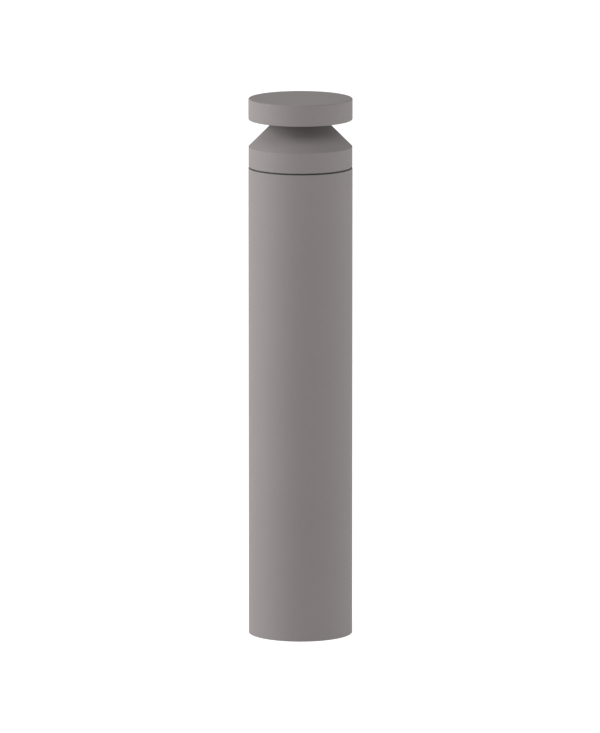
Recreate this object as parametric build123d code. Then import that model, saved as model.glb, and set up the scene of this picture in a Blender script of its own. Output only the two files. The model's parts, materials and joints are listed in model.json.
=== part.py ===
from build123d import *
import os
from math import sqrt

# Bollard light: a round aluminium tube that stands over a bolted base plate and carries a
# lift-off luminaire head. Millimetres. The origin is the centre of the footprint on the ground,
# +Z is up, and the front looks along -Y.

# ---- Driving dimensions of the outside ----
BODY_D = 190.0            # tube and cap share one diameter
HEIGHT = 990.0
CAP_HEIGHT = 39.0
LIGHT_GAP = 49.5          # ring's top edge up to the cap's underside, at the outside
RING_HEIGHT = 36.5
RING_SETBACK = 0.35       # how far the ring's face stands behind the tube's and the cap's
SEAM = 3.0                # shadow gap between the tube and the head
WALL = 4.0                # tube and housing wall
CAP_EDGE = 2.0            # rounding of the cap's two outer edges
CRISP_EDGE = 0.5          # rounding of every other outer edge
LIFT_PLAY = 0.4           # radial play of the two spigots in the tube
GAP = 0.3                 # rest gap between pieces that part when something is lifted off
THREAD_PLAY = 0.05        # radial play drawn round every screw and pin

# ---- Levels and radii that follow ----
RADIUS = BODY_D / 2
BORE = RADIUS - WALL
SPIGOT = BORE - LIFT_PLAY
RING_R = RADIUS - RING_SETBACK
CAP_Z = HEIGHT - CAP_HEIGHT
RING_TOP_Z = CAP_Z - LIGHT_GAP
RING_Z = RING_TOP_Z - RING_HEIGHT
TUBE_Z = RING_Z - SEAM

# ---- Fixings between tube, base and head ----
SET_SCREW_R = 3.0
SET_SCREW_SUNK = 0.4
SET_SOCKET_DEPTH = 2.0
SET_SCREW_ANGLES = (30, 150)      # both behind the middle plane, out of sight from the front
UPPER_SCREW_Z = TUBE_Z - 20
LOWER_SCREW_Z = 24.0
KEY_WIDTH = 8.0
KEY_DEPTH = 5.0
KEY_HEIGHT = 24.0
UPPER_KEY_Z = TUBE_Z - 36
LOWER_KEY_Z = 18.0

# ---- Base plate ----
PLATE_T = 12.0
COLLAR_TOP_Z = 45.0
COLLAR_R = 84.0                   # inside of the collar
ANCHOR_PCD = 140.0
ANCHOR_HOLE_R = 5.5
ANCHORS = 4
CABLE_ENTRY_R = 30.0
EARTH_R = 3.0                     # M6 earth studs
EARTH_X = 62.0
EARTH_NUT_R = 5.8
EARTH_NUT_T = 5.0
EARTH_NUT_PITCH = 6.0             # a terminal ring fits between the two nuts
TUBE_EARTH_Z = 300.0
TUBE_EARTH_LENGTH = 18.0

# ---- Connection box and its bracket ----
BOX_HALF_W = 28.0
BOX_FRONT_Y = -10.0
BOX_BACK_Y = 38.0
BOX_Z = 120.0
BOX_TOP_Z = 240.0
BOX_WALL = 2.5
BOX_CORNER = 3.0
LID_DEPTH = 5.7
HINGE_X = -BOX_HALF_W - 4
HINGE_Y = BOX_FRONT_Y - GAP / 2
KNUCKLE_R = 3.0
HINGE_PIN_R = 1.5
KNUCKLE_LEVELS = (130.0, 150.0, 170.0, 190.0, 210.0, 230.0)
BRACKET_HALF_W = 22.0
BRACKET_T = 3.0
BRACKET_FLANGE = 12.0
BRACKET_TOP_Z = 246.0
FOOT_DEPTH = 28.0
BOX_SCREW_LEVELS = (132.0, 228.0)
LID_SCREW_X = 18.5
LID_SCREW_R = 1.9
GLAND_Y = 14.0
GLAND_R = 8.0                     # M16 cable glands
GLAND_HEX_R = 11.2
CABLE_R = 4.5
GROMMET_R = 6.0
GROMMET_LIP = 2.0
GROMMET_BORE_R = 3.0

# ---- Rail, lever terminals and fuse holder in the box ----
RAIL_Z = 180.0
RAIL_HALF_H = 17.5                # 35 mm top-hat rail
RAIL_WEB_HALF_H = 12.5
RAIL_DEPTH = 7.5
RAIL_T = 1.0
RAIL_HALF_L = 25.0
RAIL_BACK_Y = BOX_BACK_Y - BOX_WALL
RAIL_FRONT_Y = RAIL_BACK_Y - RAIL_DEPTH
TERMINAL_X = (-24.5, -1.0)
TERMINAL_FRONT_Y = 4.0
TERMINAL_HALF_H = 21.0
POLE_XS = {"live": -20.5, "neutral": -12.75, "earth": -5.0}
LEVER_WIDTH = 5.6
LEVER_LENGTH = 13.0
LEVER_T = 2.6
LEVER_BARREL_R = 2.4
LEVER_PIN_R = 0.8
LEVER_Y = TERMINAL_FRONT_Y + 3.0
LEVER_Z = RAIL_Z + 10.0
FUSE_X = (2.0, 22.0)
FUSE_FRONT_Y = 8.0
FUSE_HALF_H = 30.0
CARRIER_HALF_W = 6.6
CARRIER_HALF_H = 21.6
CARRIER_Y = (4.0, 19.0)
CARRIER_PLAY = 0.4
LINK_R = 2.6                      # 5 x 20 mm fuse link
LINK_GLASS_R = 2.4
LINK_HALF_L = 10.0
LINK_CAP_L = 5.0

# ---- Luminaire head ----
SKIRT_LENGTH = 40.0
SKIRT_R = SPIGOT - WALL           # inside of the skirt
SKIRT_Z = TUBE_Z - SKIRT_LENGTH
CONE_TUCK = 2.0                   # how far the cone's flat top stands up inside the cap
CONE_TOP_Z = CAP_Z + CONE_TUCK
CONE_TOP_R = RING_R - (CONE_TOP_Z - RING_TOP_Z)
DECK_T = 5.0
DECK_Z = CONE_TOP_Z - DECK_T
BOSS_X = 70.0
BOSS_R = 7.0
BOSS_Z = RING_Z + 7.0
HUB_GASKET_T = 2.5
LENS_Z = CONE_TOP_Z + HUB_GASKET_T
LENS_T = 3.0
LENS_GASKET_T = 1.5
SHOULDER_Z = LENS_Z + LENS_T + LENS_GASKET_T
ROOF_Z = HEIGHT - 6.0
HUB_R = 40.0
HUB_FOOT_R = 36.0
CAVITY_R = 81.0
LENS_POCKET_R = 84.5
RECESS_R = 90.5
BEZEL_T = 2.5
BEZEL_INNER_R = 79.5
BEZEL_SCREW_PCR = 87.5
BEZEL_SCREWS = 6
FIT = 0.3                         # play round the lens parts in the cap
NIPPLE_R = 8.0
NIPPLE_BORE_R = 5.5
NIPPLE_Z = (934.0, 972.0)
CAP_SCREW_PCR = 26.0
CAP_SCREWS = 3
BOARD_R = (44.0, 77.0)
BOARD_T = 1.6
PAD_T = 1.0
LED_PCR = 60.5
LEDS = 24
LED_SIZE = 3.5
LED_T = 1.0
BOARD_SCREW_PCR = 72.0
BOARD_SCREWS = 4
LEAD_Z = 977.0                    # level of the lead's passage through the hub
LEAD_R = 2.0
LEAD_PASSAGE_R = 4.0
LEAD_RISE = 13.0
CONNECTOR_X = (46.0, 57.0)
CONNECTOR_HALF_W = 5.0

# ---- Gear tray that hangs inside the tube ----
TRAY_T = 2.5
TRAY_HALF_W = 34.0
TRAY_ARM_X = 79.0
TRAY_HALF_D = 12.0
TRAY_BOTTOM_Z = 650.0
TRAY_LIP = 8.0
TRAY_FACE_Y = TRAY_HALF_D - TRAY_T
DRIVER_HALF_W = 21.0
DRIVER_DEPTH = 30.0
DRIVER_Z = (690.0, 840.0)
DRIVER_EAR = 10.0
DRIVER_EAR_T = 2.0
SURGE_HALF_W = 18.0
SURGE_DEPTH = 22.0
SURGE_Z = (750.0, 800.0)
INLET_HALF_W = 14.0
INLET_DEPTH = 20.0
INLET_Z = (656.0, 680.0)
INLET_WALL = 2.5
LEAD_START_Y = -5.0
SIDE_LEAD_Y = -5.0                # the side leads run beside the driver at this depth
SURGE_LEAD_Y = TRAY_HALF_D + SURGE_DEPTH / 2
SURGE_LEAD_Z = (SURGE_Z[0] + SURGE_Z[1]) / 2
DRIVER_LEAD_Z = 710.0
TRAY_SLOT_X = 27.0
TRAY_SLOT_R = 3.5
TRAY_PASSAGE_R = 5.0
MOULD_CORNER = 2.0                # rounded edges of the driver and the surge protector

# ---- Screws: radius of the shank, radius of the head, height of the head ----
M3_R = 1.5
M4_R = 2.0
M5_R = 2.5
M3_PAN = (M3_R, 2.8, 1.8)
M3_FLAT = (M3_R, 2.6, 1.4)
M4_PAN = (M4_R, 3.6, 2.6)
M5_CAP = (M5_R, 4.5, 4.0)
LID_SCREW = (LID_SCREW_R, 3.6, 2.0)

# ---- Small common sizes ----
M3_REACH = 8.0                    # thread depth of the bezel's screws
BLIND_FLOOR = 3.0                 # metal left under a blind hole in the base plate
COLLAR_CHAMFER = 1.5
ENTRY_RIM_T = 4.0                 # raised rim round the cable entry
BASE_EARTH_LENGTH = 20.0
TUBE_EARTH_ROOT = 2.5             # weld collar under the tube's earth nuts
FOOT_SCREW_XS = (-12.0, 12.0)
FOOT_SCREW_Y = BOX_BACK_Y + BRACKET_T + FOOT_DEPTH / 2
LID_BOSS_R = 4.0
LID_SCREW_REACH = 5.0
GASKET_W = 1.5
BITE = 1.0                        # how far a boss or a hinge web runs into its wall
HINGE_PIN_HEAD = 2.0
HINGE_PIN_HEAD_R = 2.5
GLAND_XS = (-13.0, 13.0)
GLAND_NECK_Z = 103.0
GLAND_FLANGE_T = 5.0
GLAND_NUT_T = 4.0
GLAND_SEAL_T = 1.5
GLAND_SEAL_H = 10.0
GLAND_DOME_R = 10.2
GLAND_DOME_T = 3.0
GLAND_DOME_GRIP = 9.0
GLAND_DOME_EDGE = 2.0
GLAND_MOUTH = 1.0                 # room round the cable at the dome's mouth
CLAW_T = 2.0
CLAW_Y = (RAIL_FRONT_Y - 1.0, RAIL_FRONT_Y + 3.0)
LEVER_LIP = 1.2
LEVER_LIP_H = 2.0
LEVER_SWEEP = 1.2                 # room over a lever's barrel for its arm when it stands out
TERMINAL_CHAMFER = 2.0
CLAMP_Y = 15.0
CLAMP_Z = (165.0, 175.0)
CLAMP_HALF = 2.6
WIRE_R = 1.8
FUSE_MID_X = (FUSE_X[0] + FUSE_X[1]) / 2
LINK_Y = 13.5
CONTACT_T = 0.6
CONTACT_BACK_Y = 22.0
CONTACT_HALF_H = 2.0
CARRIER_PLATE_T = 4.0
CARRIER_GRIP = 2.0
CARRIER_GRIP_HALF_W = 2.0
CARRIER_GRIP_HALF_H = 8.0
SEAM_SETBACK = 2.4
CAP_SCREW_LENGTH = 22.0
FOOT_SCREW_LENGTH = 12.0
BOX_SCREW_LENGTH = 7.0
DRIVER_SCREW_PROUD = 2.0
SHORT = 1.0                       # how far a screw stops before the end of its hole
NIPPLE_NUT_T = 7.0
NIPPLE_NUT_R = 13.0
TRAY_SCREW_REACH = 14.0
BOARD_SCREW_REACH = 4.0
BOARD_Z = ROOF_Z - PAD_T - BOARD_T        # underside of the board
INLET_POCKET = 14.0
INLET_PIN_R = 1.2
INLET_PIN_PITCH = 7.0
INLET_PIN_LENGTH = 11.0


# ---- Shared shapes ----
def turned(*outline):
    """Solid turned about Z from (radius, height) corners."""
    corners = [(radius, 0, height) for radius, height in outline]
    return revolve(make_face(Polyline(*corners, close=True)), Axis.Z)


def ring(inner, outer, low, high):
    """Plain ring about Z between two radii and two levels."""
    return turned((inner, low), (outer, low), (outer, high), (inner, high))


def rod(radius, low, high, x=0.0, y=0.0):
    """Upright round bar between two levels."""
    return Pos(x, y, (low + high) / 2) * Cylinder(radius, high - low)


def block(xs, ys, zs):
    """Square-cornered block between three pairs of limits."""
    sizes = [pair[1] - pair[0] for pair in (xs, ys, zs)]
    middles = [(pair[0] + pair[1]) / 2 for pair in (xs, ys, zs)]
    return Pos(*middles) * Box(*sizes)


def hexagon(radius, low, high, x=0.0, y=0.0):
    """Upright hexagonal bar, sized over its corners."""
    return Pos(x, y, low) * extrude(RegularPolygon(radius, 6), high - low)


def group(pieces):
    """Separate solids kept together as one node."""
    return Part() + list(pieces)


def around(piece, count, start=0.0):
    """Copies of a piece spread evenly about Z."""
    return [Rot(0, 0, start + 360 * index / count) * piece for index in range(count)]


def rims(part, radius, level):
    """The circular edges of a part that have a given radius and level."""
    circles = part.edges().filter_by(GeomType.CIRCLE)
    near = 0.01
    return [c for c in circles if abs(c.radius - radius) < near and abs(c.arc_center.Z - level) < near]


def screw(size, length):
    """Socket screw whose head seats at z = 0 and whose shank points up."""
    shank_r, head_r, head_t = size
    socket_depth = 0.6 * head_t
    body = rod(shank_r, 0, length) + rod(head_r, -head_t, 0)
    body = chamfer(rims(body, head_r, -head_t), 0.15 * head_r)
    return body - hexagon(0.55 * head_r, -head_t, socket_depth - head_t)


def from_behind(piece):
    """Turn an upright piece so that its top points along -Y."""
    return Rot(90, 0, 0) * piece


def from_front(piece):
    """Turn an upright piece so that its top points along +Y."""
    return Rot(-90, 0, 0) * piece


# ---- Tube ----
def set_screw_hole(level, angle):
    """Radial tapped hole through the tube wall."""
    bar = Rot(0, 90, 0) * rod(SET_SCREW_R + THREAD_PLAY, BORE - WALL, RADIUS + WALL)
    return Pos(0, 0, level) * Rot(0, 0, angle) * bar


def bollard_tube():
    """Long plain tube with four tapped holes for the set screws."""
    tube = ring(BORE, RADIUS, 0, TUBE_Z)
    tube = fillet(rims(tube, RADIUS, 0) + rims(tube, RADIUS, TUBE_Z), CRISP_EDGE)
    for level in (UPPER_SCREW_Z, LOWER_SCREW_Z):
        for angle in SET_SCREW_ANGLES:
            tube -= set_screw_hole(level, angle)
    return tube


def set_screws():
    """Four headless socket screws, just below the tube's surface, backed off from the spigots."""
    outer_end = RADIUS - SET_SCREW_SUNK
    body = rod(SET_SCREW_R, SPIGOT + GAP, outer_end)
    body -= hexagon(0.55 * SET_SCREW_R, outer_end - SET_SOCKET_DEPTH, outer_end)
    radial = Rot(0, 90, 0) * body
    screws = []
    for level in (UPPER_SCREW_Z, LOWER_SCREW_Z):
        screws += [Pos(0, 0, level) * Rot(0, 0, angle) * radial for angle in SET_SCREW_ANGLES]
    return group(screws)


def guide_keys():
    """Two keys welded inside the tube at the front, one for each spigot."""
    half = KEY_WIDTH / 2
    keys = []
    for level in (UPPER_KEY_Z, LOWER_KEY_Z):
        zs = (level, level + KEY_HEIGHT)
        keys.append(block((-half, half), (-RADIUS, KEY_DEPTH - BORE), zs) & rod(BORE, *zs))
    return group(keys)


def key_slot(low, high):
    """Slot that clears a guide key, cut right through a spigot's wall."""
    half = KEY_WIDTH / 2 + GAP + LIFT_PLAY
    return block((-half, half), (-RADIUS, KEY_DEPTH + WALL - BORE), (low, high))


def inward(piece, level):
    """Place an upright piece so that it points inward from the tube's rear wall."""
    return Pos(0, BORE, level) * from_behind(piece)


def tube_earth_stud():
    """Threaded stud welded to the rear inside wall."""
    stud = inward(rod(EARTH_R, 0, TUBE_EARTH_LENGTH), TUBE_EARTH_Z)
    root_r = 2 * EARTH_R
    root = inward(rod(root_r, -WALL, TUBE_EARTH_ROOT - GAP), TUBE_EARTH_Z)
    return (stud + root) & rod(BORE, TUBE_EARTH_Z - root_r, TUBE_EARTH_Z + root_r)


def earth_nuts(low):
    """Two hexagon nuts on an upright M6 stud."""
    nuts = []
    for level in (low, low + EARTH_NUT_PITCH):
        top = level + EARTH_NUT_T
        nuts.append(hexagon(EARTH_NUT_R, level, top) - rod(EARTH_R + THREAD_PLAY, level, top))
    return group(nuts)


# ---- Base plate and bracket ----
def base_plate():
    """Cast foot with the collar that centres the tube, four anchor holes and the cable entry."""
    plate = rod(SPIGOT, 0, PLATE_T) + ring(COLLAR_R, SPIGOT, 0, COLLAR_TOP_Z)
    plate += rod(CABLE_ENTRY_R + WALL, PLATE_T, PLATE_T + ENTRY_RIM_T)
    plate -= rod(CABLE_ENTRY_R, 0, PLATE_T + ENTRY_RIM_T)
    plate -= around(rod(ANCHOR_HOLE_R, 0, PLATE_T, ANCHOR_PCD / 2), ANCHORS, 45)
    plate -= rod(EARTH_R, BLIND_FLOOR, PLATE_T, EARTH_X)
    plate -= [rod(M5_R + THREAD_PLAY, BLIND_FLOOR, PLATE_T, x, FOOT_SCREW_Y) for x in FOOT_SCREW_XS]
    plate = chamfer(rims(plate, SPIGOT, COLLAR_TOP_Z), COLLAR_CHAMFER)
    return plate - key_slot(PLATE_T, COLLAR_TOP_Z)


def base_earth_stud():
    """Threaded stud screwed into the base plate."""
    return rod(EARTH_R, BLIND_FLOOR, PLATE_T + BASE_EARTH_LENGTH, EARTH_X)


def box_bracket():
    """Folded steel channel that stands on the base plate and holds the connection box."""
    half = BRACKET_HALF_W
    web_back = BOX_BACK_Y + BRACKET_T
    bracket = block((-half, half), (BOX_BACK_Y, web_back), (PLATE_T, BRACKET_TOP_Z))
    bracket += block((-half, half), (BOX_BACK_Y, web_back + FOOT_DEPTH), (PLATE_T, PLATE_T + BRACKET_T))
    flange_ys = (BOX_BACK_Y, web_back + BRACKET_FLANGE)
    for edge in (-half, half - BRACKET_T):
        bracket += block((edge, edge + BRACKET_T), flange_ys, (PLATE_T, BRACKET_TOP_Z))
    bracket -= [rod(M5_R + THREAD_PLAY, 0, BOX_Z, x, FOOT_SCREW_Y) for x in FOOT_SCREW_XS]
    return bracket - box_screw_holes()


def bracket_screws():
    """Two screws that hold the bracket's foot down."""
    fixing = Pos(0, 0, PLATE_T + BRACKET_T) * Rot(180, 0, 0) * screw(M5_CAP, FOOT_SCREW_LENGTH)
    return group(Pos(x, FOOT_SCREW_Y, 0) * fixing for x in FOOT_SCREW_XS)


# ---- Connection box ----
def box_screw_holes():
    """Holes along Y through the box's back wall and the bracket."""
    hole = from_front(rod(M4_R + THREAD_PLAY, 0, BOX_WALL + BRACKET_T))
    return [Pos(0, RAIL_BACK_Y, level) * hole for level in BOX_SCREW_LEVELS]


def box_screws():
    """Two screws from inside the box into the bracket."""
    fixing = from_front(screw(M4_PAN, BOX_SCREW_LENGTH))
    return group(Pos(0, RAIL_BACK_Y, level) * fixing for level in BOX_SCREW_LEVELS)


def rounded_box(half_width, ys, zs, corner):
    """Block whose four edges along Y are rounded."""
    body = block((-half_width, half_width), ys, zs)
    return fillet(body.edges().filter_by(Axis.Y), corner)


def knuckles(parity, y_low, y_high):
    """Every other hinge knuckle, with the web that joins it to the box or to the lid."""
    pieces = []
    spans = list(zip(KNUCKLE_LEVELS, KNUCKLE_LEVELS[1:]))[parity::2]
    for low, high in spans:
        low += GAP / 2
        high -= GAP / 2
        pieces.append(rod(KNUCKLE_R, low, high, HINGE_X, HINGE_Y))
        pieces.append(block((HINGE_X, BITE - BOX_HALF_W), (y_low, y_high), (low, high)))
    return pieces


def hinge_bore():
    """Bore for the hinge pin."""
    return rod(HINGE_PIN_R + THREAD_PLAY, BOX_Z, BOX_TOP_Z, HINGE_X, HINGE_Y)


def lid_screw_bars(radius, y_low, y_high):
    """Bars along Y on the two lid screws' axes."""
    bar = from_front(rod(radius, y_low, y_high))
    return [Pos(LID_SCREW_X, 0, level) * bar for level in BOX_SCREW_LEVELS]


def connection_box():
    """Moulded box, open at the front, with gland holes below and a lead outlet on top."""
    body = rounded_box(BOX_HALF_W, (BOX_FRONT_Y, BOX_BACK_Y), (BOX_Z, BOX_TOP_Z), BOX_CORNER)
    inside = (BOX_HALF_W - BOX_WALL, (BOX_FRONT_Y, RAIL_BACK_Y), (BOX_Z + BOX_WALL, BOX_TOP_Z - BOX_WALL))
    body -= rounded_box(*inside, BOX_CORNER / 2)
    body += lid_screw_bars(LID_BOSS_R, BOX_FRONT_Y, RAIL_BACK_Y + BITE)
    body -= lid_screw_bars(LID_SCREW_R + LIFT_PLAY, BOX_FRONT_Y, BOX_FRONT_Y + LID_SCREW_REACH + 2 * SHORT)
    body += knuckles(0, BOX_FRONT_Y, BOX_FRONT_Y + KNUCKLE_R)
    body -= hinge_bore()
    body -= [rod(GLAND_R + THREAD_PLAY, BOX_Z, BOX_Z + BOX_WALL, x, GLAND_Y) for x in GLAND_XS]
    body -= rod(GROMMET_R, BOX_TOP_Z - BOX_WALL, BOX_TOP_Z, 0, GLAND_Y)
    return body - box_screw_holes()


def connection_box_lid():
    """Shallow lid that swings open to the left on two knuckles."""
    back = BOX_FRONT_Y - GAP
    front = back - LID_DEPTH
    lid = rounded_box(BOX_HALF_W, (front, back), (BOX_Z, BOX_TOP_Z), BOX_CORNER)
    lid = fillet(lid.faces().sort_by(Axis.Y)[0].edges(), CRISP_EDGE * 2)
    inside = (BOX_HALF_W - BOX_WALL, (front + BOX_WALL, back), (BOX_Z + BOX_WALL, BOX_TOP_Z - BOX_WALL))
    lid -= rounded_box(*inside, BOX_CORNER / 2)
    lid += lid_screw_bars(LID_BOSS_R, front + BITE, back)
    lid -= lid_screw_bars(LID_SCREW_R + THREAD_PLAY, front, back)
    lid += knuckles(1, back - KNUCKLE_R, back)
    return lid - hinge_bore()


def lid_gasket():
    """Foam strip that runs round the inside of the lid's rim."""
    ys = (BOX_FRONT_Y - GAP - GASKET_W, BOX_FRONT_Y - GAP)
    edge = BOX_WALL
    outer = rounded_box(BOX_HALF_W - edge, ys, (BOX_Z + edge, BOX_TOP_Z - edge), BOX_CORNER / 2)
    edge += GASKET_W
    return outer - rounded_box(BOX_HALF_W - edge, ys, (BOX_Z + edge, BOX_TOP_Z - edge), BOX_CORNER / 3)


def lid_screws():
    """Two captive screws that close the lid."""
    seat = BOX_FRONT_Y - GAP - LID_DEPTH
    fixing = from_front(screw(LID_SCREW, LID_DEPTH + GAP + LID_SCREW_REACH))
    return group(Pos(LID_SCREW_X, seat, level) * fixing for level in BOX_SCREW_LEVELS)


def lid_hinge_pin():
    """Steel pin with a head at each end."""
    low, high = KNUCKLE_LEVELS[0], KNUCKLE_LEVELS[-1]
    pin = rod(HINGE_PIN_R, low, high, HINGE_X, HINGE_Y)
    for level in (low - HINGE_PIN_HEAD, high):
        pin += rod(HINGE_PIN_HEAD_R, level, level + HINGE_PIN_HEAD, HINGE_X, HINGE_Y)
    return pin


def outlet_grommet():
    """Rubber grommet in the box's top."""
    wall_low = BOX_TOP_Z - BOX_WALL
    body = rod(GROMMET_R, wall_low, BOX_TOP_Z)
    body += rod(GROMMET_R + GROMMET_LIP, wall_low - GROMMET_LIP, wall_low)
    body += rod(GROMMET_R + GROMMET_LIP, BOX_TOP_Z, BOX_TOP_Z + GROMMET_LIP)
    body -= rod(GROMMET_BORE_R, wall_low - GROMMET_LIP, BOX_TOP_Z + GROMMET_LIP)
    return Pos(0, GLAND_Y, 0) * body


# ---- Cable glands ----
def at_glands(piece):
    """One copy of a piece on each gland's axis."""
    return group(Pos(x, GLAND_Y, 0) * piece for x in GLAND_XS)


def gland_bodies():
    """Threaded gland bodies with their hexagon flange under the box."""
    body = rod(GLAND_R, GLAND_NECK_Z, BOX_Z + BOX_WALL + GLAND_NUT_T + SHORT)
    body += hexagon(GLAND_HEX_R, BOX_Z - GLAND_FLANGE_T, BOX_Z)
    return at_glands(body - rod(CABLE_R + GLAND_SEAL_T, GLAND_NECK_Z, BOX_TOP_Z))


def gland_locknuts():
    """Hexagon locknuts inside the box."""
    floor = BOX_Z + BOX_WALL
    nut = hexagon(GLAND_HEX_R, floor, floor + GLAND_NUT_T)
    return at_glands(nut - rod(GLAND_R + THREAD_PLAY, floor, floor + GLAND_NUT_T))


def gland_seals():
    """Rubber inserts that grip the cables."""
    return at_glands(ring(CABLE_R, CABLE_R + GLAND_SEAL_T, GLAND_NECK_Z, GLAND_NECK_Z + GLAND_SEAL_H))


def gland_domes():
    """Domed nuts that squeeze the seals."""
    foot = GLAND_NECK_Z - GLAND_DOME_T
    top = GLAND_NECK_Z + GLAND_DOME_GRIP
    dome = rod(GLAND_DOME_R, foot, top)
    dome = fillet(rims(dome, GLAND_DOME_R, foot), GLAND_DOME_EDGE)
    dome -= rod(GLAND_R + THREAD_PLAY, GLAND_NECK_Z, top)
    return at_glands(dome - rod(CABLE_R + GLAND_MOUTH, foot, GLAND_NECK_Z))


# ---- Rail and lever terminals ----
def din_rail():
    """Short length of 35 mm top-hat rail."""
    lip, web = RAIL_HALF_H, RAIL_WEB_HALF_H
    half = RAIL_HALF_L
    rail = block((-half, half), (RAIL_BACK_Y - RAIL_T, RAIL_BACK_Y), (RAIL_Z - web, RAIL_Z + web))
    for side in (-1, 1):
        inner = RAIL_Z + side * (web - RAIL_T)
        step = sorted((inner, RAIL_Z + side * web))
        rail += block((-half, half), (RAIL_FRONT_Y, RAIL_BACK_Y), step)
        edge = sorted((inner, RAIL_Z + side * lip))
        rail += block((-half, half), (RAIL_FRONT_Y, RAIL_FRONT_Y + RAIL_T), edge)
    return rail


def rail_claws(xs):
    """Claws that grip the rail's two lips."""
    claws = []
    for side in (-1, 1):
        edge = RAIL_Z + side * RAIL_HALF_H
        claws.append(block(xs, CLAW_Y, sorted((edge, edge + side * CLAW_T))))
    return claws


def across(radius, xs, y, z):
    """Round bar along X."""
    return Pos((xs[0] + xs[1]) / 2, y, z) * Rot(0, 90, 0) * Cylinder(radius, xs[1] - xs[0])


def terminal_block():
    """Three-pole block with a lever well, a clamp pocket and a wire hole for each pole."""
    zs = (RAIL_Z - TERMINAL_HALF_H, RAIL_Z + TERMINAL_HALF_H)
    body = block(TERMINAL_X, (TERMINAL_FRONT_Y, RAIL_FRONT_Y), zs)
    body = chamfer(body.faces().sort_by(Axis.Y)[0].edges().filter_by(Axis.X), TERMINAL_CHAMFER)
    body += rail_claws(TERMINAL_X)
    half = LEVER_WIDTH / 2 + LIFT_PLAY
    well_top = LEVER_Z + LEVER_BARREL_R + LEVER_SWEEP
    well_back = LEVER_Y + LEVER_BARREL_R + LIFT_PLAY
    for x in POLE_XS.values():
        body -= block((x - half, x + half), (0, well_back), (LEVER_Z - LEVER_LENGTH - GAP, well_top))
        body -= clamp_space(x, CLAMP_HALF + GAP)
        body -= rod(WIRE_R, zs[0], CLAMP_Z[0], x, CLAMP_Y)
    return body - across(LEVER_PIN_R, TERMINAL_X, LEVER_Y, LEVER_Z)


def clamp_space(x, half):
    """Block round one pole's clamp."""
    return block((x - half, x + half), (CLAMP_Y - half, CLAMP_Y + half), CLAMP_Z)


def terminal_clamps():
    """Brass cages that hold the wires."""
    cages = []
    for x in POLE_XS.values():
        cages.append(clamp_space(x, CLAMP_HALF) - rod(WIRE_R, *CLAMP_Z, x, CLAMP_Y))
    return group(cages)


def lever_pin():
    """Steel pin on which the three levers turn."""
    return across(LEVER_PIN_R, TERMINAL_X, LEVER_Y, LEVER_Z)


def lever(x):
    """One clamp lever: a barrel, a flat arm that hangs from it and a finger lip."""
    xs = (x - LEVER_WIDTH / 2, x + LEVER_WIDTH / 2)
    tip = LEVER_Z - LEVER_LENGTH
    arm = block(xs, (TERMINAL_FRONT_Y, TERMINAL_FRONT_Y + LEVER_T), (tip, LEVER_Z))
    lip = block(xs, (TERMINAL_FRONT_Y - LEVER_LIP, TERMINAL_FRONT_Y), (tip, tip + LEVER_LIP_H))
    body = arm + lip + across(LEVER_BARREL_R, xs, LEVER_Y, LEVER_Z)
    return body - across(LEVER_PIN_R + THREAD_PLAY, xs, LEVER_Y, LEVER_Z)


# ---- Fuse holder ----
def fuse_base():
    """Rail-mounted holder with a well for the pull-out carrier."""
    body = block(FUSE_X, (FUSE_FRONT_Y, RAIL_FRONT_Y), (RAIL_Z - FUSE_HALF_H, RAIL_Z + FUSE_HALF_H))
    body += rail_claws(FUSE_X)
    half_w = CARRIER_HALF_W + CARRIER_PLAY
    half_h = CARRIER_HALF_H + CARRIER_PLAY
    well = ((FUSE_MID_X - half_w, FUSE_MID_X + half_w), (FUSE_FRONT_Y, CONTACT_BACK_Y))
    return body - block(*well, (RAIL_Z - half_h, RAIL_Z + half_h))


def fuse_contacts():
    """Two U-shaped spring clips at the back of the well."""
    clips = []
    outer = LINK_R + GAP + CONTACT_T
    for side in (-1, 1):
        middle = RAIL_Z + side * (LINK_HALF_L - LINK_CAP_L / 2)
        zs = (middle - CONTACT_HALF_H, middle + CONTACT_HALF_H)
        clip = block((FUSE_MID_X - outer, FUSE_MID_X + outer), (LINK_Y - LINK_R, CONTACT_BACK_Y), zs)
        inner = outer - CONTACT_T
        clip -= block((FUSE_MID_X - inner, FUSE_MID_X + inner), (0, CONTACT_BACK_Y - CONTACT_T), zs)
        clips.append(clip)
    return group(clips)


def fuse_carrier():
    """Pull-out carrier: a front plate with a grip, and two cheeks that hold the fuse link."""
    xs = (FUSE_MID_X - CARRIER_HALF_W, FUSE_MID_X + CARRIER_HALF_W)
    plate_back = CARRIER_Y[0] + CARRIER_PLATE_T
    body = block(xs, (CARRIER_Y[0], plate_back), (RAIL_Z - CARRIER_HALF_H, RAIL_Z + CARRIER_HALF_H))
    grip_xs = (FUSE_MID_X - CARRIER_GRIP_HALF_W, FUSE_MID_X + CARRIER_GRIP_HALF_W)
    grip_zs = (RAIL_Z - CARRIER_GRIP_HALF_H, RAIL_Z + CARRIER_GRIP_HALF_H)
    body += block(grip_xs, (CARRIER_Y[0] - CARRIER_GRIP, CARRIER_Y[0]), grip_zs)
    for side in (-1, 1):
        zs = sorted((RAIL_Z + side * LINK_HALF_L, RAIL_Z + side * CARRIER_HALF_H))
        body += block(xs, (plate_back, CARRIER_Y[1]), zs)
    return body


def fuse_link():
    """Glass barrel of the fuse link."""
    half = LINK_HALF_L - LINK_CAP_L
    return rod(LINK_GLASS_R, RAIL_Z - half, RAIL_Z + half, FUSE_MID_X, LINK_Y)


def fuse_caps():
    """Metal end caps of the fuse link."""
    caps = []
    for low in (RAIL_Z - LINK_HALF_L, RAIL_Z + LINK_HALF_L - LINK_CAP_L):
        caps.append(rod(LINK_R, low, low + LINK_CAP_L, FUSE_MID_X, LINK_Y))
    return group(caps)


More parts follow.
